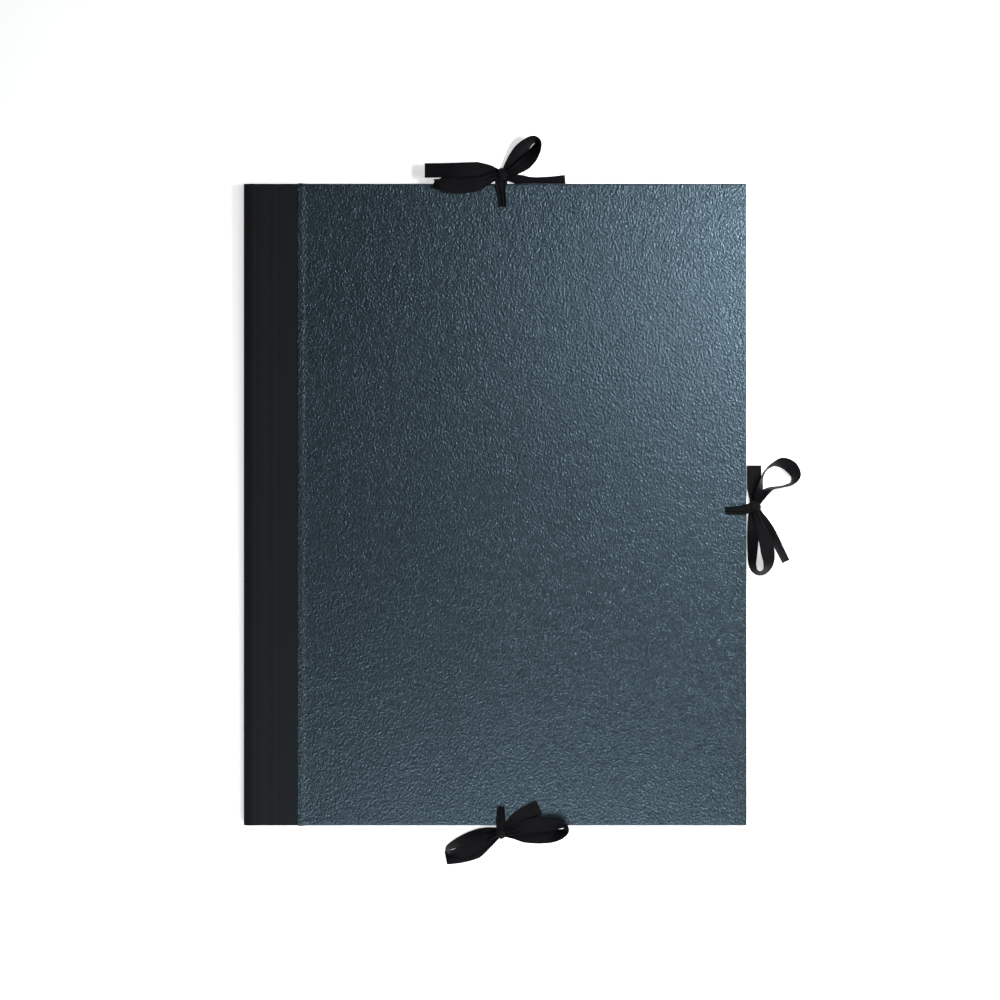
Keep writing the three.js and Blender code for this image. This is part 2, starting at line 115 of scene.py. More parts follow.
# Each tie: the slit's inset, the point of the cover's edge that it belongs to, the direction
# along that edge and the direction outward
TIES = {
    "top": (12.0, (4.0, HALF_HEIGHT), (1, 0), (0, 1)),
    "side": (11.0, (HALF_WIDTH, -3.0), (0, -1), (1, 0)),
    "bottom": (10.0, (3.0, -HALF_HEIGHT), (-1, 0), (0, -1)),
}

# The knot's centre and reach, then the stations of the strand, the loop and the tail. A station
# is [along the edge, outward, up from the middle plane, turn in degrees, width].
BOWS = {
    "top_front": {
        "knot": ([-0.6, 4.3, 1.5], [2.9, 3.9, 2.4]),
        "strand": [
            [-0.4, -6, 3.5, 0, 3.8], [-1.2, -1, 3.6, 0, 5.4], [-1.3, 0.8, 3.5, 0, 5.4],
            [-1.0, 2.4, 2.8, 0, 4.8], [-0.6, 4.3, 1.5, 0, 4],
        ],
        "loop": [
            [-0.6, 3.6, 0.8, 0, 3], [-3.6, 3.2, 1, 0, 3.4], [-7.5, 3.6, 1.7, 0, 5.4],
            [-13, 4.1, 2.7, 0, 7.5], [-20, 3.4, 3.5, 0, 7.5], [-27, 1.2, 3.6, 0, 7],
            [-32.6, -0.1, 3.6, 0, 5], [-34.4, -0.2, 3.9, 0, 4.6], [-35.3, -0.2, 4.8, 0, 4.6],
            [-34.4, -0.2, 5.7, 0, 4.6], [-32.6, -0.3, 6, 0, 5], [-27, -1.3, 5.8, 0, 7],
            [-20.5, -1.5, 5.3, 0, 7.5], [-13, -0.3, 5, 0, 7], [-7.5, 2, 4, 0, 4.8],
            [-3.6, 3.8, 2.6, 0, 3.6], [-0.6, 4.4, 1.8, 0, 3],
        ],
        "tail": [
            [-0.6, 5, 1.2, 0, 3], [-3.8, 6.4, 1.4, 0, 3.4], [-7.5, 7.4, 2.5, 0, 4.8],
            [-13, 7.4, 3.8, 0, 7.5], [-22, 7, 4.4, 0, 7.5], [-31, 6.8, 3.6, 0, 7.5],
            [-40.2, 6.8, 2.4, 0, 7.5],
        ],
    },
    "top_back": {
        "knot": ([0, 4.2, -2.3], [2.8, 3.4, 1.2]),
        "strand": [
            [0, -6, -3.5, 0, 4.4], [0, -0.8, -3.5, 0, 4.8], [0, 2, -3.1, 0, 4.4],
            [0, 4.2, -2.4, 0, 4],
        ],
        "loop": [
            [0.4, 4.6, -2.5, 0, 3], [2, 7.6, -2.8, 0, 4.2], [5.4, 12.4, -2.8, 6, 6.6],
            [9, 17.4, -1.8, 26, 7.5], [12.6, 21.2, -0.6, 50, 7.5], [15.8, 23, 0, 66, 7.5],
            [18, 21.6, 0.4, 66, 7.5], [17.4, 18.6, 0.5, 50, 7.5], [15, 14.6, 0.1, 28, 7.5],
            [11.6, 10.8, -0.8, 10, 7], [7, 7.6, -1.5, 0, 5.2], [3.4, 5.6, -1.8, 0, 3.6],
            [0.4, 4.4, -1.9, 0, 3],
        ],
        "tail": [
            [-0.4, 4, -2.3, 0, 3], [3.2, 3.4, -2.8, 0, 3.6], [6.2, 2.9, -3.2, 0, 4.6],
            [9.4, 1.8, -3.5, 0, 6.4], [14, 0.2, -3.5, 0, 7.5], [23, 0.2, -3.5, 0, 7.5],
            [32.4, 1.1, -3.5, 0, 7.5],
        ],
    },
    "side_front": {
        "knot": ([-1.7, 4.2, 1.4], [2.9, 3.4, 2.4]),
        "strand": [
            [0, -6, 3.5, 0, 4], [-0.5, -1, 3.6, 0, 4.8], [-1, 0.8, 3.5, 0, 4.8],
            [-1.4, 2.3, 2.8, 0, 4.6], [-1.7, 4.2, 1.5, 0, 4],
        ],
        "loop": [
            [-1.7, 3.2, 0.8, 0, 3], [1.6, 2.8, 0.8, 0, 3.2], [6, 3, 0.9, 10, 4.8],
            [13, 3.3, 1.1, 32, 6.8], [22, 3.1, 1.2, 52, 7.5], [28, 3.1, 1.4, 62, 7.5],
            [31.4, 4.6, 1.6, 72, 7.5], [32.4, 7.2, 1.8, 74, 7.5], [31, 9.9, 2.0, 66, 7.5],
            [27, 11.4, 2.3, 42, 7.5], [20.6, 10.8, 2.5, 14, 7.5], [13, 8.9, 2.3, 5, 6.4],
            [6, 6.4, 1.8, 0, 4.4], [2, 5, 1.6, 0, 3.4], [-1.7, 4.4, 1.5, 0, 3],
        ],
        "tail": [
            [-1.7, 4.8, 0.9, 0, 3], [1.6, 6.6, 0.5, 0, 3.4], [6, 9.6, 0.1, 10, 4.4],
            [12.4, 13.4, -0.4, 45, 6.4], [19.4, 17, -0.4, 60, 7.5],
            [26.4, 20.5, -0.2, 62, 7.5],
        ],
    },
    "side_back": {
        "knot": ([-2.4, 4.2, -2.3], [2.8, 3.2, 1.2]),
        "strand": [
            [0, -6, -3.5, 0, 4.4], [-0.4, -0.8, -3.5, 0, 4.8], [-1.4, 1.8, -3.1, 0, 4.4],
            [-2.4, 4.2, -2.4, 0, 4],
        ],
        "loop": [
            [-2.4, 4.6, -2.4, 0, 3], [-6, 5.8, -2.4, 10, 3.8], [-10.6, 6.8, -1.2, 55, 6],
            [-15.8, 7.8, -0.2, 78, 7.5], [-20.6, 10, 0, 84, 7.5], [-23.8, 14, 0, 76, 7.5],
            [-24.6, 18.6, -0.2, 45, 7.5], [-22.2, 23.2, -0.4, 30, 7.5],
            [-18, 25.6, -0.2, 50, 7.5], [-14.2, 23.9, 0.1, 78, 7.5],
            [-12.4, 18.8, 0.2, 84, 7.5], [-11.4, 13.6, 0.1, 80, 7], [-9, 9.8, -0.6, 50, 5.4],
            [-5.6, 6.8, -1.5, 10, 3.8], [-2.4, 4.8, -1.9, 0, 3],
        ],
        "tail": [
            [-2.4, 4, -2.4, 0, 3], [-6, 3.8, -3, 0, 4], [-11, 4.2, -3.5, 0, 7.5],
            [-17, 4.2, -3.5, 0, 7.5], [-23.3, 4.2, -3.5, 0, 7.5],
        ],
    },
    "bottom_front": {
        "knot": ([-0.1, 3.7, 1.4], [2.9, 3.3, 2.4]),
        "strand": [
            [0, -5, 3.5, 0, 4.2], [0, -1, 3.6, 0, 4.8], [0, 0.8, 3.5, 0, 4.8],
            [0, 2.2, 2.8, 0, 4.6], [-0.1, 3.7, 1.5, 0, 4],
        ],
        "loop": [
            [-0.1, 4.2, 0.6, 0, 3], [-3.4, 4.4, 0.6, 0, 3.4], [-7, 4.6, 0.9, 0, 5],
            [-12, 5.2, 1.3, 0, 7.2], [-19, 5.6, 1.9, 0, 7.5], [-26, 5.2, 3, -18, 7.5],
            [-31, 4.4, 4.6, -50, 7], [-33.6, 2.6, 5.6, -68, 6.4],
            [-33.2, 0.2, 6, -68, 6.4], [-30, -1, 5.9, -44, 7],
            [-24.4, -1, 5.3, -12, 7.4], [-17, -0.4, 5, 0, 7.5], [-11, 0.9, 4.3, 0, 6],
            [-6.6, 2.4, 3.2, 0, 4.2], [-3.2, 3.3, 2.2, 0, 3.4], [-0.1, 3.8, 1.8, 0, 3],
        ],
        "tail": [
            [-0.1, 3.2, 1.2, 0, 3], [-2.4, 2.2, 3, 0, 3], [-4.8, -0.7, 4.5, 0, 4],
            [-8.8, -4, 3.7, 0, 6.4], [-14, -6.8, 3.5, 0, 7.5], [-19.8, -9.4, 3.5, 0, 7.5],
        ],
    },
    "bottom_back": {
        "knot": ([0.4, 3.7, -2.3], [2.8, 3.2, 1.2]),
        "strand": [
            [0, -5, -3.5, 0, 4.2], [0, -0.8, -3.5, 0, 4.6], [0.2, 1.6, -3.1, 0, 4.4],
            [0.4, 3.7, -2.4, 0, 4],
        ],
        "loop": [
            [0.4, 3.4, -2.4, 0, 3], [4.6, 3.2, -2.4, 6, 3.8], [10.4, 4.4, -1.8, 26, 6],
            [17.6, 7, -1, 46, 7.5], [24, 9.8, -0.4, 62, 7.5], [27.4, 12.2, -0.1, 74, 7.5],
            [26.6, 14.6, 0.2, 72, 7.5], [23.4, 14.6, 0.2, 46, 7.5],
            [18.4, 13, -0.4, 18, 7.5], [12.6, 10.4, -1.4, 5, 7], [7.6, 7.4, -1.6, 0, 5],
            [3.8, 5, -1.8, 0, 3.6], [0.4, 3.9, -1.9, 0, 3],
        ],
        "tail": [
            [0.4, 4.2, -2.5, 0, 3], [3.2, 6.6, -2.9, 0, 3.6], [7, 9.8, -3.2, 0, 5],
            [12.6, 13.6, -3.5, 0, 7.5], [20, 15.8, -3.3, 8, 7.5], [28.4, 17, -2.3, 28, 7.5],
        ],
    },
}


def eased(value, low, high):
    """Share of the way from low to high, easing in and out"""
    share = min(max((value - low) / (high - low), 0.0), 1.0)
    return share * share * (3 - 2 * share)


def smooth_line(points, steps):
    """Points along a smooth line through the given ones, with this many steps between two"""
    given = [np.array(p, float) for p in points]
    padded = [2 * given[0] - given[1], *given, 2 * given[-1] - given[-2]]
    line = []
    for p0, p1, p2, p3 in zip(padded, padded[1:], padded[2:], padded[3:]):
        d0, d1, d2 = (
            max(np.linalg.norm(b - a) ** 0.5, 1e-4) for a, b in ((p0, p1), (p1, p2), (p2, p3))
        )
        out = ((p1 - p0) / d0 - (p2 - p0) / (d0 + d1) + (p2 - p1) / d1) * d1
        into = ((p2 - p1) / d1 - (p3 - p1) / (d1 + d2) + (p3 - p2) / d2) * d1
        for t in np.arange(steps) / steps:
            line.append(
                p1 * (2 * t**3 - 3 * t**2 + 1)
                + out * (t**3 - 2 * t**2 + t)
                + p2 * (3 * t**2 - 2 * t**3)
                + into * (t**3 - t**2)
            )
    line.append(given[-1])
    return line


def new_piece(name, vertices, faces, material, uvs=None):
    """A smooth-shaded mesh from vertices in millimetres. uvs gives each vertex its place."""
    mesh = bpy.data.meshes.new(name)
    mesh.from_pydata([tuple(MM * float(c) for c in v) for v in vertices], [], faces)
    if uvs is not None:
        layer = mesh.uv_layers.new(name="UVMap")
        for loop in mesh.loops:
            layer.data[loop.index].uv = uvs[loop.vertex_index]
    mesh.shade_smooth()
    mesh.materials.append(material)
    piece = bpy.data.objects.new(name, mesh)
    bpy.context.scene.collection.objects.link(piece)
    return piece


def thicken(piece, thickness):
    """Gives a single surface its thickness, half to each side, and keeps its cut edges crisp"""
    solidify = piece.modifiers.new("Thickness", "SOLIDIFY")
    solidify.thickness = thickness * MM
    solidify.offset = 0
    solidify.use_even_offset = False
    settle(piece)
    piece.data.set_sharp_from_angle(angle=SHARP_ANGLE)


def settle(piece):
    """Applies the modifiers of a piece"""
    evaluated = piece.evaluated_get(bpy.context.evaluated_depsgraph_get())
    mesh = bpy.data.meshes.new_from_object(evaluated)
    piece.modifiers.clear()
    piece.data = mesh


def grid_faces(rows, columns):
    """Quads over a grid of rows x columns vertices"""
    return [
        (r * columns + c, r * columns + c + 1, (r + 1) * columns + c + 1, (r + 1) * columns + c)
        for r in range(rows - 1)
        for c in range(columns - 1)
    ]


class Nodes:
    """Adds nodes to a material and links them by name"""

    def __init__(self, name):
        self.material = bpy.data.materials.new(name)
        self.material.use_nodes = True
        self.tree = self.material.node_tree
        self.shader = self.tree.nodes["Principled BSDF"]

    def add(self, kind, settings=None, **inputs):
        """A new node with its settings and its inputs, which are values or other outputs"""
        node = self.tree.nodes.new(kind)
        for key, value in (settings or {}).items():
            setattr(node, key, value)
        for key, value in inputs.items():
            self.set(node, key.replace("_", " "), value)
        return node

    def set(self, node, socket, value):
        target = node.inputs[int(socket)] if socket.isdigit() else node.inputs[socket]
        if isinstance(value, bpy.types.NodeSocket):
            self.tree.links.new(value, target)
        else:
            target.default_value = value

    def math(self, operation, a, b=0.0):
        node = self.tree.nodes.new("ShaderNodeMath")
        node.operation = operation
        self.set(node, "0", a)
        self.set(node, "1", b)
        return node.outputs[0]

    def ramp(self, value, low, high):
        """0 below low and 1 above high, easing between"""
        node = self.tree.nodes.new("ShaderNodeMapRange")
        node.interpolation_type = "SMOOTHSTEP"
        self.set(node, "Value", value)
        self.set(node, "From Min", low)
        self.set(node, "From Max", high)
        return node.outputs["Result"]

    def mix(self, share, first, second):
        node = self.tree.nodes.new("ShaderNodeMix")
        node.data_type = "RGBA"
        self.set(node, "0", share)
        self.set(node, "6", first)
        self.set(node, "7", second)
        return node.outputs[2]

    def bump(self, height, distance):
        """A normal raised by a height of 0 to 1 times this distance in metres"""
        node = self.tree.nodes.new("ShaderNodeBump")
        self.set(node, "Height", height)
        node.inputs["Distance"].default_value = distance
        node.inputs["Strength"].default_value = 1.0
        return node.outputs["Normal"]


def colour(values, factor=1.0):
    """A shader colour, lighter or darker by a factor"""
    return (values[0] * factor, values[1] * factor, values[2] * factor, 1.0)


def leatherette_material(colours):
    """Bookbinding paper embossed with a fine leather grain: small uneven pebbles parted by
    creases, satin on top and duller in the creases, where painted shade also darkens the colour"""
    n = Nodes("Leatherette")
    place = n.add("ShaderNodeTexCoord").outputs["Object"]
    drift = n.add("ShaderNodeTexNoise", Vector=place, Scale=170.0, Detail=2.0).outputs["Color"]
    bent = n.add("ShaderNodeVectorMath", {"operation": "MULTIPLY_ADD"})
    n.set(bent, "0", drift)
    bent.inputs[1].default_value = (0.0022, 0.0022, 0.0022)
    n.set(bent, "2", place)
    stretched = n.add("ShaderNodeMapping")
    stretched.inputs["Rotation"].default_value = (0, 0, math.radians(28))
    stretched.inputs["Scale"].default_value = (1.0, 0.78, 1.0)
    n.set(stretched, "Vector", bent.outputs[0])
    cells = n.add(
        "ShaderNodeTexVoronoi", {"feature": "DISTANCE_TO_EDGE"}, Vector=stretched.outputs[0],
        Scale=620.0, Randomness=1.0,
    ).outputs["Distance"]
    small = n.add(
        "ShaderNodeTexVoronoi", {"feature": "DISTANCE_TO_EDGE"}, Vector=stretched.outputs[0],
        Scale=1300.0, Randomness=1.0,
    ).outputs["Distance"]
    pebbles = n.ramp(cells, 0.0, 0.34)
    wrinkles = n.ramp(small, 0.0, 0.24)
    fine = n.add("ShaderNodeTexNoise", Vector=place, Scale=2600.0, Detail=3.0).outputs["Fac"]
    worms = n.add(
        "ShaderNodeTexNoise", Vector=stretched.outputs[0], Scale=800.0, Detail=1.5
    ).outputs["Fac"]
    height = n.math("ADD", n.math("MULTIPLY", pebbles, 0.3), n.math("MULTIPLY", wrinkles, 0.16))
    height = n.math("ADD", height, n.math("MULTIPLY", worms, 1.15))
    height = n.math("ADD", height, n.math("MULTIPLY", fine, 0.06))
    wear = n.add("ShaderNodeTexNoise", Vector=place, Scale=14.0, Detail=3.0).outputs["Fac"]
    base = colours.leatherette
    crown = n.mix(n.ramp(wear, 0.35, 0.68), colour(base), colour(base, 1.25))
    raised = n.ramp(n.math("ADD", n.math("MULTIPLY", pebbles, 0.3), worms), 0.42, 0.78)
    # Painted shade: the creases between the pebbles are darkened to 0.4 of the base colour, while
    # the raised grain keeps the crown colour
    shade = n.mix(raised, colour(base, 0.4), crown)
    n.set(n.shader, "Base Color", shade)
    rough = n.math("SUBTRACT", 0.46, n.math("MULTIPLY", raised, 0.14))
    n.set(n.shader, "Roughness", rough)
    n.shader.inputs["Specular IOR Level"].default_value = 0.85
    n.shader.inputs["Specular Tint"].default_value = (0.55, 0.8, 1.0, 1.0)
    n.set(n.shader, "Normal", n.bump(height, 0.00028))
    return n.material


def bookcloth_material(colours):
    """Fine plain-woven bookcloth filled nearly flat, with the weave just showing"""
    n = Nodes("Bookcloth")
    place = n.add("ShaderNodeUVMap").outputs["UV"]
    wobble = n.add("ShaderNodeTexNoise", Vector=place, Scale=0.6, Detail=2.0).outputs["Color"]
    bent = n.add("ShaderNodeVectorMath", {"operation": "MULTIPLY_ADD"})
    n.set(bent, "0", wobble)
    bent.inputs[1].default_value = (0.16, 0.16, 0.0)
    n.set(bent, "2", place)
    threads = [
        n.add(
            "ShaderNodeTexWave", {"bands_direction": direction}, Vector=bent.outputs[0],
            Scale=0.62, Distortion=0.4, Detail=1.0,
        ).outputs["Fac"]
        for direction in ("X", "Y")
    ]
    weave = n.math("MULTIPLY", threads[0], threads[1])
    slub = n.add("ShaderNodeTexNoise", Vector=place, Scale=0.9, Detail=4.0).outputs["Fac"]
    height = n.math("ADD", weave, n.math("MULTIPLY", slub, 0.6))
    # Painted light: where the threads cross and stand highest the colour is raised to 1.2 times as
    # a painted highlight, and between them it is lowered to 0.75 as painted shade
    shade = n.mix(weave, colour(colours.bookcloth, 0.75), colour(colours.bookcloth, 1.2))
    n.set(n.shader, "Base Color", shade)
    n.set(n.shader, "Roughness", n.math("ADD", 0.66, n.math("MULTIPLY", slub, 0.14)))
    n.shader.inputs["Specular IOR Level"].default_value = 0.2
    n.shader.inputs["Sheen Weight"].default_value = 0.02
    n.set(n.shader, "Normal", n.bump(height, 0.00004))
    return n.material


def ribbon_material(colours):
    """Woven tape: fine ribs across it and closer yarns along it"""
    n = Nodes("Woven tape")
    place = n.add("ShaderNodeUVMap").outputs["UV"]
    ribs = n.add(
        "ShaderNodeTexWave", {"bands_direction": "Y"}, Vector=place, Scale=0.62, Distortion=0.25,
    ).outputs["Fac"]
    yarns = n.add(
        "ShaderNodeTexWave", {"bands_direction": "X"}, Vector=place, Scale=0.95, Distortion=0.25,
    ).outputs["Fac"]
    fuzz = n.add("ShaderNodeTexNoise", Vector=place, Scale=3.0, Detail=4.0).outputs["Fac"]
    height = n.math("ADD", n.math("MULTIPLY", ribs, 0.7), n.math("MULTIPLY", yarns, 0.5))
    height = n.math("ADD", height, n.math("MULTIPLY", fuzz, 0.5))
    crossings = n.math("MULTIPLY", ribs, yarns)
    # Painted light: where ribs and yarns cross and stand highest the tape is lightened to 1.4
    # times its colour as a painted highlight, and between them it is darkened to 0.6 as painted
    # shade
    shade = n.mix(crossings, colour(colours.ribbon, 0.6), colour(colours.ribbon, 1.4))
    n.set(n.shader, "Base Color", shade)
    n.set(n.shader, "Roughness", n.math("ADD", 0.5, n.math("MULTIPLY", fuzz, 0.2)))
    n.shader.inputs["Specular IOR Level"].default_value = 0.1
    n.shader.inputs["Sheen Weight"].default_value = 0.012
    n.shader.inputs["Sheen Roughness"].default_value = 0.4
    n.set(n.shader, "Normal", n.bump(height, 0.00009))
    return n.material


def paper_material(name, base, fibre_scale, roughness):
    """Uncoated paper or greyboard with fibres and a little cloudiness"""
    n = Nodes(name)
    place = n.add("ShaderNodeTexCoord").outputs["Object"]
    stretched = n.add("ShaderNodeMapping")
    stretched.inputs["Scale"].default_value = (1.0, 0.3, 1.0)
    n.set(stretched, "Vector", place)
    fibres = n.add(
        "ShaderNodeTexNoise", Vector=stretched.outputs[0], Scale=fibre_scale, Detail=5.0
    ).outputs["Fac"]
    clouds = n.add("ShaderNodeTexNoise", Vector=place, Scale=22.0, Detail=3.0).outputs["Fac"]
    blend = n.math("ADD", n.math("MULTIPLY", fibres, 0.6), n.math("MULTIPLY", clouds, 0.4))
    shade = n.mix(n.ramp(blend, 0.3, 0.7), colour(base, 0.82), colour(base, 1.12))
    n.set(n.shader, "Base Color", shade)
    n.set(n.shader, "Roughness", n.math("ADD", roughness, n.math("MULTIPLY", fibres, 0.12)))
    n.set(n.shader, "Normal", n.bump(fibres, 0.00005))
    return n.material


def kept_material(name, make):
    """A material by name, made when first asked for"""
    return bpy.data.materials.get(name) or make()


class PORTFOLIO_PG_sizes(bpy.types.PropertyGroup):
    """Sizes of the soft pieces"""

    tape_thickness: bpy.props.FloatProperty(
        name="Tape thickness", description="Thickness of the ribbon tape",
        default=0.00034, min=0.0001, max=0.0006, precision=5, unit="LENGTH",
    )
    tape_cup: bpy.props.FloatProperty(
        name="Tape cup", description="How far the middle of a flat tape stands above its edges",
        default=0.00022, min=0.0, max=0.0008, precision=5, unit="LENGTH",
    )
    edge_radius: bpy.props.FloatProperty(
        name="Edge radius", description="Radius of the leatherette where it wraps a board's edge",
        default=0.00065, min=0.0004, max=0.0009, precision=5, unit="LENGTH",
    )
    groove_depth: bpy.props.FloatProperty(
        name="Groove depth", description="Depth of the lines rubbed into the cloth at the spine",
        default=0.00016, min=0.0, max=0.0002, precision=5, unit="LENGTH",
    )


class PORTFOLIO_PG_colours(bpy.types.PropertyGroup):
    """Colours of the papers, the cloth and the ribbon"""

    leatherette: bpy.props.FloatVectorProperty(
        name="Leatherette", description="Colour of the grained covering paper",
        default=(0.0100, 0.0145, 0.0172), size=3, min=0.0, max=1.0, subtype="COLOR",
    )
    bookcloth: bpy.props.FloatVectorProperty(
        name="Bookcloth", description="Colour of the cloth on the spine",
        default=(0.0062, 0.0082, 0.0104), size=3, min=0.0, max=1.0, subtype="COLOR",
    )
    ribbon: bpy.props.FloatVectorProperty(
        name="Ribbon", description="Colour of the woven tape",
        default=(0.0020, 0.0020, 0.0032), size=3, min=0.0, max=1.0, subtype="COLOR",
    )
    lining: bpy.props.FloatVectorProperty(
        name="Lining paper", description="Colour of the paper inside the covers",
        default=(0.018, 0.02, 0.022), size=3, min=0.0, max=1.0, subtype="COLOR",
    )
    greyboard: bpy.props.FloatVectorProperty(
        name="Greyboard", description="Colour of the boards inside the covers",
        default=(0.25, 0.23, 0.19), size=3, min=0.0, max=1.0, subtype="COLOR",
    )


class PORTFOLIO_PG_stage(bpy.types.PropertyGroup):
    """Camera and light"""

    camera_height: bpy.props.FloatProperty(
        name="Camera height", description="Height of the camera over the front cover",
        default=2.5, min=0.5, max=10.0, unit="LENGTH",
    )
    view_width: bpy.props.FloatProperty(
        name="View width", description="Width of the view at the front cover",
        default=0.5148, min=0.2, max=2.0, unit="LENGTH",
    )
    key_power: bpy.props.FloatProperty(
        name="Key light", description="Power of the soft light over the head of the fore edge",
        default=2.1, min=0.0, max=100.0, subtype="POWER",
    )
    fill_power: bpy.props.FloatProperty(
        name="Fill light", description="Power of the wide soft light low on the spine side",
        default=0.8, min=0.0, max=200.0, subtype="POWER",
    )
    low_power: bpy.props.FloatProperty(
        name="Low light", description="Power of the soft light beyond the tail of the covers",
        default=1.9, min=0.0, max=100.0, subtype="POWER",
    )


class PORTFOLIO_OT_stage(bpy.types.Operator):
    """Set the camera straight over the shut portfolio, with soft light and a pale floor"""

    bl_idname = "portfolio.stage"
    bl_label = "Stage"

    # Where the camera stands beside the middle of the covers
    camera_shift = (0.00257, 0.00237)

    # Each lamp's place, the point it aims at and its width
    lamps = {
        "Key": ((0.262, 0.152, 0.28), (0.12, 0.06, 0), 0.15),
        "Fill": ((-1.05, -0.25, 0.85), (0, 0, 0), 0.9),
        "Low": ((0.05, -0.36, 0.34), (0.02, -0.13, 0), 0.26),
    }
    lamp_colour = (0.97, 0.99, 1.0)
    world_colour = (0.95, 0.98, 1.0, 1.0)
    world_strength = 0.055
    floor_colour = (0.84, 0.84, 0.84, 1.0)
    floor_glow = 0.62
    floor_half = 6.0
    floor_gap = 0.0003

    def execute(self, context):
        scene = context.scene
        stage = scene.portfolio_stage
        scene.view_settings.view_transform = "Standard"
        front = MM * (MIDDLE + BOARD_OUTER + SHEET)
        camera = bpy.data.cameras.new("Camera")
        camera.sensor_width = 36
        camera.lens = camera.sensor_width * stage.camera_height / stage.view_width
        camera.clip_start = 0.01
        camera.clip_end = 50
        view = bpy.data.objects.new("Camera", camera)
        view.location = (*self.camera_shift, front + stage.camera_height)
        scene.collection.objects.link(view)
        scene.camera = view
        for name, power in (
            ("Key", stage.key_power), ("Fill", stage.fill_power), ("Low", stage.low_power)
        ):
            self.add_lamp(scene, name, power, *self.lamps[name])
        self.light_world(scene)
        self.lay_floor(scene)
        return {"FINISHED"}

    def add_lamp(self, scene, name, power, place, aim, size):
        """A round soft lamp"""
        lamp = bpy.data.lights.new(name, "AREA")
        lamp.energy = power
        lamp.shape = "DISK"
        lamp.size = size
        lamp.color = self.lamp_colour
        light = bpy.data.objects.new(name, lamp)
        light.location = place
        light.rotation_euler = (Vector(aim) - Vector(place)).to_track_quat("-Z", "Y").to_euler()
        scene.collection.objects.link(light)

    def light_world(self, scene):
        """Weak light from all round, and white where the camera sees past the floor"""
        world = bpy.data.worlds.new("Studio")
        world.use_nodes = True
        scene.world = world
        tree = world.node_tree
        soft = tree.nodes["Background"]
        soft.inputs["Color"].default_value = self.world_colour
        soft.inputs["Strength"].default_value = self.world_strength
        white = tree.nodes.new("ShaderNodeBackground")
        white.inputs["Strength"].default_value = 1.0
        path = tree.nodes.new("ShaderNodeLightPath")
        mix = tree.nodes.new("ShaderNodeMixShader")
        tree.links.new(path.outputs["Is Camera Ray"], mix.inputs[0])
        tree.links.new(soft.outputs[0], mix.inputs[1])
        tree.links.new(white.outputs[0], mix.inputs[2])
        tree.links.new(mix.outputs[0], tree.nodes["World Output"].inputs["Surface"])

    def lay_floor(self, scene):
        """A pale floor just below the portfolio, which the camera and reflections see as nearly
        white"""
        lowest = CAD_BOX[0].z - self.floor_gap
        half = self.floor_half
        corners = [(-half, -half), (half, -half), (half, half), (-half, half)]
        mesh = bpy.data.meshes.new("Floor")
        mesh.from_pydata([(x, y, lowest) for x, y in corners], [], [(0, 1, 2, 3)])
        n = Nodes("Pale floor")
        n.shader.inputs["Base Color"].default_value = self.floor_colour
        n.shader.inputs["Roughness"].default_value = 0.9
        n.shader.inputs["Specular IOR Level"].default_value = 0.1
        path = n.add("ShaderNodeLightPath").outputs
        seen = n.math("MAXIMUM", path["Is Camera Ray"], path["Is Glossy Ray"])
        seen = n.math("MAXIMUM", seen, path["Is Transmission Ray"])
        n.set(n.shader, "Emission Strength", n.math("MULTIPLY", seen, self.floor_glow))
        n.shader.inputs["Emission Color"].default_value = (1, 1, 1, 1)
        mesh.materials.append(n.material)
        floor = bpy.data.objects.new("Floor", mesh)
        scene.collection.objects.link(floor)


def tie_place(tie, along, out, up):
    """A point at a tie, in millimetres"""
    corner, edge_run, outward = TIES[tie][1:]
    return np.array([
        corner[0] + along * edge_run[0] + out * outward[0],
        corner[1] + along * edge_run[1] + out * outward[1],
        MIDDLE + up,
    ])


def ribbon_rings(tie, stations, steps, steep_below=0.75):
    """Centre, broad direction, thick direction and width at each step along a ribbon. The tape
    lies level across its run, and keeps its last broad direction where the run is steep."""
    line = smooth_line([tie_place(tie, *s[:3]) for s in stations], steps)
    up = np.array([0.0, 0.0, 1.0])
    rings = []
    across = None
    for index, centre in enumerate(line):
        run = line[min(index + 1, len(line) - 1)] - line[max(index - 1, 0)]
        run = run / np.linalg.norm(run)
        level = np.cross(up, run)
        steep = np.linalg.norm(level) <= steep_below
        if across is None:
            across = level
        elif not steep:
            across = level if level @ across >= 0 else -level
        across = across - run * (across @ run)
        across = across / np.linalg.norm(across)
        first = min(index // steps, len(stations) - 2)
        share = index / steps - first
        turn = stations[first][3] + share * (stations[first + 1][3] - stations[first][3])
        width = stations[first][4] + share * (stations[first + 1][4] - stations[first][4])
        turned = Matrix.Rotation(math.radians(turn), 3, Vector(run)) @ Vector(across)
        broad = np.array(turned)
        rings.append((centre, broad, np.cross(run, broad), width))
    return rings


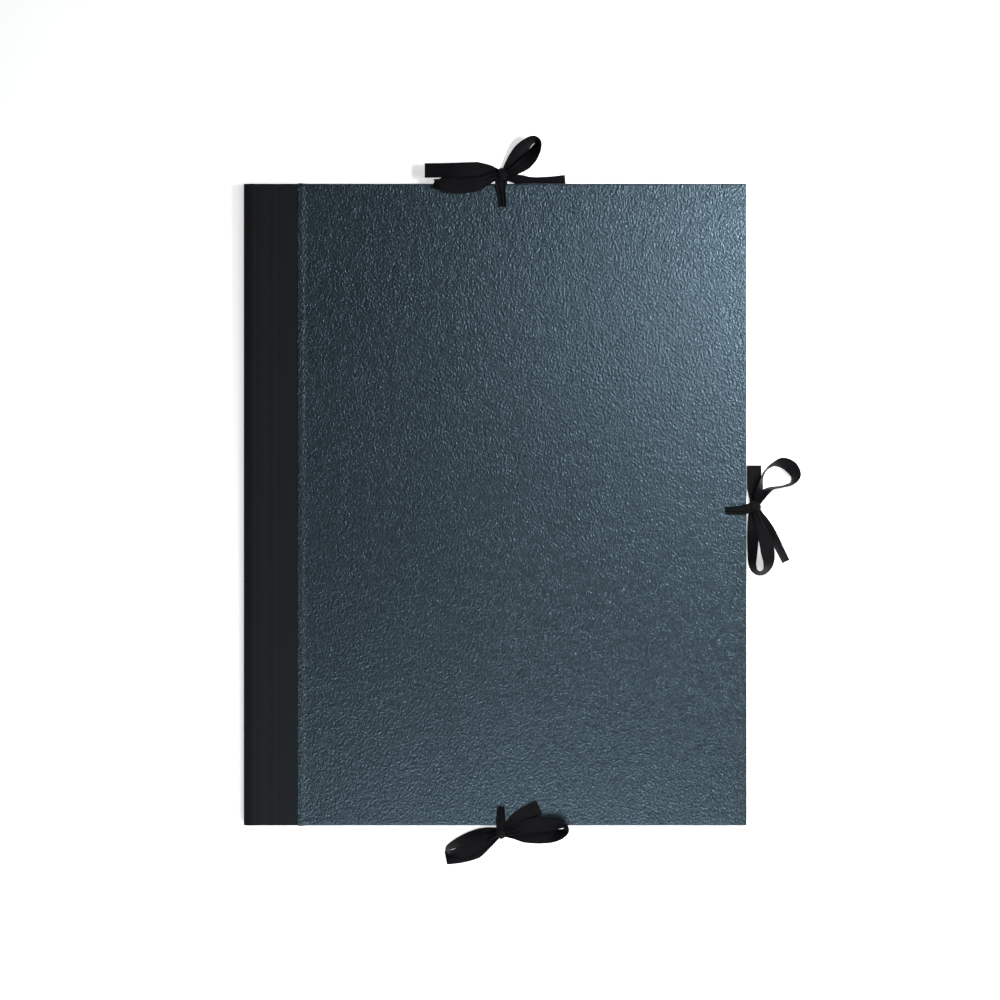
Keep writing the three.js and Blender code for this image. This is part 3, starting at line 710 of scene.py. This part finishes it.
class PORTFOLIO_OT_ribbons(bpy.types.Operator):
    """Tie the ribbons: each runs from under the lining through its slit and into its knot, makes
    a loop and ends in a bare cut tail"""

    bl_idname = "portfolio.ribbons"
    bl_label = "Ribbons"

    steps = 8
    columns = 9
    gathered_width = 3.2
    crease_height = 0.42

    def execute(self, context):
        sizes = context.scene.portfolio_sizes
        colours = context.scene.portfolio_colours
        self.tape = kept_material("Woven tape", lambda: ribbon_material(colours))
        for name, bow in BOWS.items():
            tie, cover = name.split("_")
            side = 1 if cover == "front" else -1
            knot = self.knot(f"{name}_knot", tie, bow["knot"])
            inset = TIES[tie][0]
            anchored = [[0, out - inset, side * layer, 0, w] for out, layer, w in ANCHORED]
            stations = [*anchored, *bow["strand"], *bow["loop"], *bow["tail"]]
            rings = ribbon_rings(tie, stations, self.steps)
            ribbon = self.tape_piece(f"{name}_tape", rings, sizes)
            exit_point = tie_place(tie, 0, -inset, 0) * MM
            exit_point[2] = MM * (MIDDLE + side * (BOARD_OUTER + SHEET))
            for piece in (ribbon, knot):
                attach(piece, f"{cover}_cover")
            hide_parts(f"{tie}_{cover}_ribbon")
        return {"FINISHED"}

    def tape_piece(self, name, rings, sizes):
        """The tape itself: cupped where it lies open and gathered into creases where narrow"""
        vertices, uvs = [], []
        travelled = 0.0
        before = rings[0][0]
        cup = sizes.tape_cup / MM
        for centre, broad, thick, width in rings:
            travelled += np.linalg.norm(centre - before)
            before = centre
            gathered = 1 - eased(width, self.gathered_width, RIBBON_WIDTH)
            for column in range(self.columns):
                share = column / (self.columns - 1) - 0.5
                crease = self.crease_height * gathered * math.cos(share * 4 * math.pi)
                rise = cup * (1 - 4 * share * share) * (1 - gathered) + crease
                vertices.append(centre + broad * (share * width) + thick * rise)
                uvs.append((share * RIBBON_WIDTH, travelled))
        faces = grid_faces(len(rings), self.columns)
        tape = new_piece(name, vertices, faces, self.tape, uvs)
        thicken(tape, sizes.tape_thickness / MM)
        return tape

    def knot(self, name, tie, knot):
        """The turns of tape pulled tight: a plump band with a waist and two sunken creases"""
        centre, reach = knot
        around, along = 40, 25
        vertices, uvs = [], []
        for row in range(along):
            lift = math.pi * row / (along - 1)
            for column in range(around):
                turn = 2 * math.pi * column / around
                out = math.cos(lift)
                ring = math.sin(lift)
                side = ring * math.cos(turn)
                top = ring * math.sin(turn)
                fold = 0.07 * math.cos(5 * out + 1.6 * side)
                waist = 1 - 0.10 * math.exp(-((out + 0.15 * side) / 0.16) ** 2)
                squareness = 1 + 0.10 * math.sin(2 * turn) ** 2 * ring
                swell = (1 - abs(fold)) * waist * squareness
                spot = tie_place(
                    tie,
                    centre[0] + reach[0] * side * swell,
                    centre[1] + reach[1] * out * (1 - 0.04 * ring),
                    centre[2] + reach[2] * top * min(swell, 1.0),
                )
                vertices.append(spot)
                uvs.append((reach[1] * out, reach[0] * turn))
        faces = [
            (
                r * around + c,
                r * around + (c + 1) % around,
                (r + 1) * around + (c + 1) % around,
                (r + 1) * around + c,
            )
            for r in range(along - 1)
            for c in range(around)
        ]
        return new_piece(name, vertices, faces, self.tape, uvs)


def lap_rise(x):
    """How far the leatherette stands up where it laps over the cloth"""
    return SHEET * (1 - eased(x, LAP_END, LAP_END + LAP_SLOPE))


def wrap_profile(radius, reach, steps=6):
    """The way of a sheet round a board's edge: distances inward from the outermost line and up
    from the board's inner face, at the middle of the sheet's thickness"""
    top = BOARD_THICKNESS + SHEET / 2
    bottom = -SHEET / 2
    quarter = [math.radians(90 * step / (steps - 1)) for step in range(steps)]
    points = []
    for angle in quarter:
        inward = radius - radius * math.sin(angle)
        points.append((inward, top - radius + radius * math.cos(angle)))
    for angle in quarter:
        inward = radius - radius * math.cos(angle)
        points.append((inward, bottom + radius - radius * math.sin(angle)))
    for inward in (1.5, 3.7, LINING_MARGIN, reach):
        points.append((inward, bottom))
    return points


class PORTFOLIO_OT_coverings(bpy.types.Operator):
    """Wrap both boards in grained leatherette, turned in round three edges and lapped over the
    cloth at the spine"""

    bl_idname = "portfolio.coverings"
    bl_label = "Coverings"

    def execute(self, context):
        sizes = context.scene.portfolio_sizes
        colours = context.scene.portfolio_colours
        paper = kept_material("Leatherette", lambda: leatherette_material(colours))
        for cover, side in (("front", 1), ("back", -1)):
            piece = self.covering(f"{cover}_leatherette", side, sizes.edge_radius / MM, paper)
            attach(piece, f"{cover}_cover")
            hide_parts(f"{cover}_covering")
        return {"FINISHED"}

    def covering(self, name, side, radius, paper):
        """One covering: its face as a grid, then a ring of vertices for each step of the way
        round the board's edges and in under the lining"""
        x_end = BOARD_FORE_EDGE + SHEET / 2
        y_end = BOARD_HALF_HEIGHT + SHEET / 2
        profile = wrap_profile(radius, TURN_IN + SHEET / 2)
        corner_step = 0.4
        edge_zone = 1.5
        wrap_rings = 12
        near = [0.0, 0.25, 0.6, 1.1, 1.6, 1.9, 2.3, 2.7, 3.1, 3.5, 3.9, 4.5, 5.5]
        xs = [LAP_EDGE + step for step in near]
        field_end = x_end - profile[0][0]
        xs += list(np.linspace(xs[-1] + 6, field_end - 0.5, 34)) + [field_end]
        ys_end = y_end - profile[0][0]
        ys = [-ys_end, *np.linspace(0.5 - ys_end, ys_end - 0.5, 48), ys_end]
        vertices = []
        index = {}

        def add(key, x, y, height, lap):
            index[key] = len(vertices)
            vertices.append((x, y, MIDDLE + side * (BOARD_INNER + height + lap)))

        for i, x in enumerate(xs):
            for j, y in enumerate(ys):
                add((0, i, j), x, y, profile[0][1], lap_rise(x))
        border = [(i, 0) for i in range(len(xs))]
        border += [(len(xs) - 1, j) for j in range(1, len(ys) - 1)]
        border += [(i, len(ys) - 1) for i in reversed(range(len(xs)))]
        for ring, (inward, height) in enumerate(profile[1:], start=1):
            limit_x = x_end - inward
            limit_y = y_end - inward
            for i, j in border:
                x, y = xs[i], ys[j]
                lap = 0.0 if inward >= LINING_MARGIN else lap_rise(x)
                outward = 1 - eased(ring, 0, wrap_rings) * 2
                if j in (0, len(ys) - 1):
                    reach = limit_y + (lap if inward < edge_zone else 0)
                    y = math.copysign(reach, y)
                if i == len(xs) - 1:
                    x = limit_x
                elif x > limit_x - corner_step:
                    x = limit_x - corner_step * (len(xs) - 1 - i)
                if j not in (0, len(ys) - 1) and abs(y) > limit_y - corner_step:
                    y = math.copysign(limit_y - corner_step, y)
                add((ring, i, j), x, y, height, lap * outward)
        faces = []
        for i in range(len(xs) - 1):
            for j in range(len(ys) - 1):
                faces.append([index[(0, a, b)] for a, b in (
                    (i, j), (i + 1, j), (i + 1, j + 1), (i, j + 1)
                )])
        for ring in range(len(profile) - 1):
            for a, b in zip(border, border[1:]):
                faces.append([
                    index[(ring, *a)], index[(ring + 1, *a)],
                    index[(ring + 1, *b)], index[(ring, *b)],
                ])
        if side < 0:
            faces = [face[::-1] for face in faces]
        piece = new_piece(name, vertices, faces, paper)
        thicken(piece, SHEET)
        return piece


def spine_path(reach, layer, nose_x, fullness, steps=14):
    """The fold at the spine seen from its end, from the front cover round the nose to the back
    cover: X, and the distance up from the middle plane"""
    bend_x = BOARD_SPINE_EDGE - SHEET
    depth = bend_x - nose_x
    controls = [(bend_x, layer), (bend_x - depth / 2, layer), (nose_x, fullness), (nose_x, 0)]
    front = [(x, layer) for x in reach]
    for step in range(steps + 1):
        t = step / steps
        weights = [(1 - t) ** 3, 3 * t * (1 - t) ** 2, 3 * t * t * (1 - t), t**3]
        front.append(tuple(sum(w * c[axis] for w, c in zip(weights, controls)) for axis in (0, 1)))
    return front + [(x, -z) for x, z in reversed(front[:-1])]


def path_normals(path):
    """Unit normals of a path in the plane, pointing into the fold"""
    normals = []
    for index in range(len(path)):
        ahead = path[min(index + 1, len(path) - 1)]
        behind = path[max(index - 1, 0)]
        run = np.array(ahead) - np.array(behind)
        run = run / np.linalg.norm(run)
        normals.append(np.array((-run[1], run[0])))
    return normals


class PORTFOLIO_OT_cloths(bpy.types.Operator):
    """Fold the bookcloth round the spine, turned in at head and tail, and the narrower hinge
    cloth inside it"""

    bl_idname = "portfolio.cloths"
    bl_label = "Spine cloths"

    def execute(self, context):
        sizes = context.scene.portfolio_sizes
        colours = context.scene.portfolio_colours
        cloth = kept_material("Bookcloth", lambda: bookcloth_material(colours))
        spine, spine_flat = self.spine(sizes, cloth)
        hinge, hinge_flat = self.hinge(cloth)
        for piece, flat, node in (
            (spine, spine_flat, "spine_cloth"),
            (hinge, hinge_flat, "hinge_cloth"),
        ):
            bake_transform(piece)
            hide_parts(node)
        return {"FINISHED"}

    def spine(self, sizes, cloth):
        """The outer cloth: along the fold from cover to cover, then over head and tail and in
        against the boards. Its flat size comes with it."""
        outer_layer = BOARD_OUTER + SHEET / 2
        reach = [LAP_END - 0.1, -100.4, -101.2, -103.0, -107.0, -109.5, -110.8, -111.4, -111.9]
        reach += [-112.4, -113.0, -114.3, -115.5, -116.1, -116.6, -117.1, -117.7, -119.0, -121.0]
        reach += [-122.0, -122.6, -123.0]
        path = spine_path(reach, outer_layer, SHEET / 2 - HALF_WIDTH, BOARD_OUTER / 2 + SHEET / 2)
        normals = path_normals(path)
        grooves = (-111.9, -116.6, -123.0)
        groove_width = 0.6
        depth = 0.6 * sizes.groove_depth / MM
        outer = []
        for (x, layer), normal in zip(path, normals):
            near = [math.exp(-(((x - groove) / groove_width) ** 2)) for groove in grooves]
            outer.append(np.array((x, layer)) + normal * depth * sum(near))
        inner = []
        for point, normal in zip(outer, normals):
            on_board = eased(point[0], BOARD_SPINE_EDGE - 0.7, BOARD_SPINE_EDGE - 0.02)
            folded = point + normal * SHEET
            turned = np.array((point[0], math.copysign(BOARD_INNER - SHEET / 2, point[1])))
            inner.append(folded * (1 - on_board) + turned * on_board)
        y_end = BOARD_HALF_HEIGHT + SHEET / 2
        turn = 0.4
        half = list(np.linspace(0, y_end - 2, 22)) + [y_end - 1.2, y_end - 0.7, y_end - turn]
        ways = [(y, 0.0) for y in half]
        for step in range(1, 8):
            angle = math.radians(180 * step / 8)
            ways.append((y_end - turn + turn * math.sin(angle), (1 - math.cos(angle)) / 2))
        ways += [(y_end - inward, 1.0) for inward in (turn, 1.2, 4, TURN_IN)]
        ways = [(-y, share) for y, share in reversed(ways[1:])] + ways
        travelled = np.cumsum([0.0] + [
            float(np.linalg.norm(b - a)) for a, b in zip(outer, outer[1:])
        ])
        vertices, uvs = [], []
        along = 0.0
        before = ways[0][0]
        for y, share in ways:
            along += abs(y - before)
            before = y
            for column, (out_point, in_point) in enumerate(zip(outer, inner)):
                x, layer = out_point * (1 - share) + in_point * share
                vertices.append((x, y, MIDDLE + layer))
                uvs.append((travelled[column], along))
        faces = [face[::-1] for face in grid_faces(len(ways), len(path))]
        piece = new_piece("spine_bookcloth", vertices, faces, cloth, uvs)
        area = sum(face.area for face in piece.data.polygons)
        thicken(piece, SHEET)
        width = float(travelled[-1]) * MM
        return piece, (width, area / width)

    def hinge(self, cloth):
        """The inner cloth, cut short of the turn-ins, and its flat size"""
        layer = BOARD_INNER - SHEET / 2
        reach = list(np.linspace(BOARD_SPINE_EDGE + HINGE_REACH, BOARD_SPINE_EDGE + 0.5, 8))
        nose_x = NOSE_ROOM + SHEET / 2 - HALF_WIDTH
        path = spine_path(reach, layer, nose_x, layer)
        end = BOARD_HALF_HEIGHT - TURN_IN + 0.1
        ys = list(np.linspace(-end, end, 40))
        travelled = np.cumsum([0.0] + [math.dist(a, b) for a, b in zip(path, path[1:])])
        vertices = [(x, y, MIDDLE + z) for y in ys for x, z in path]
        uvs = [(along, y) for y in ys for along in travelled]
        faces = [face[::-1] for face in grid_faces(len(ys), len(path))]
        piece = new_piece("hinge_bookcloth", vertices, faces, cloth, uvs)
        thicken(piece, SHEET)
        return piece, (float(travelled[-1]) * MM, (ys[-1] - ys[0]) * MM)


class PORTFOLIO_OT_boards(bpy.types.Operator):
    """Finish the boards as raw greyboard and the linings as matt paper"""

    bl_idname = "portfolio.boards"
    bl_label = "Boards and linings"

    def execute(self, context):
        colours = context.scene.portfolio_colours
        grey = kept_material(
            "Greyboard", lambda: paper_material("Greyboard", colours.greyboard, 900.0, 0.8)
        )
        lining = kept_material(
            "Lining paper", lambda: paper_material("Lining paper", colours.lining, 1400.0, 0.68)
        )
        for cover in ("front", "back"):
            for node, finish in ((f"{cover}_board", grey), (f"{cover}_lining", lining)):
                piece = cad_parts[node]
                piece.data.materials.clear()
                piece.data.materials.append(finish)
        return {"FINISHED"}


class PORTFOLIO_PT_panel(bpy.types.Panel):
    """Lists the steps that build the portfolio, with their sizes and colours"""

    bl_idname = "PORTFOLIO_PT_panel"
    bl_label = "Art Portfolio"
    bl_space_type = "VIEW_3D"
    bl_region_type = "UI"
    bl_category = "Portfolio"

    def draw(self, context):
        layout = self.layout
        for step in STEPS:
            layout.operator(step.bl_idname)
        scene = context.scene
        for group in (scene.portfolio_sizes, scene.portfolio_colours, scene.portfolio_stage):
            box = layout.box()
            for name in group.__annotations__:
                box.prop(group, name)


STEPS = (
    PORTFOLIO_OT_stage,
    PORTFOLIO_OT_ribbons,
    PORTFOLIO_OT_coverings,
    PORTFOLIO_OT_cloths,
    PORTFOLIO_OT_boards,
)
GROUPS = (PORTFOLIO_PG_sizes, PORTFOLIO_PG_colours, PORTFOLIO_PG_stage)
CLASSES = (*GROUPS, *STEPS, PORTFOLIO_PT_panel)


def register():
    for cls in CLASSES:
        bpy.utils.register_class(cls)
    scene = bpy.types.Scene
    scene.portfolio_sizes = bpy.props.PointerProperty(type=PORTFOLIO_PG_sizes)
    scene.portfolio_colours = bpy.props.PointerProperty(type=PORTFOLIO_PG_colours)
    scene.portfolio_stage = bpy.props.PointerProperty(type=PORTFOLIO_PG_stage)


def unregister():
    del bpy.types.Scene.portfolio_stage
    del bpy.types.Scene.portfolio_colours
    del bpy.types.Scene.portfolio_sizes
    for cls in reversed(CLASSES):
        bpy.utils.unregister_class(cls)


def main():
    register()
    bpy.ops.portfolio.stage()
    bpy.ops.portfolio.ribbons()
    bpy.ops.portfolio.coverings()
    bpy.ops.portfolio.cloths()
    bpy.ops.portfolio.boards()


if __name__ == "__main__":
    main()
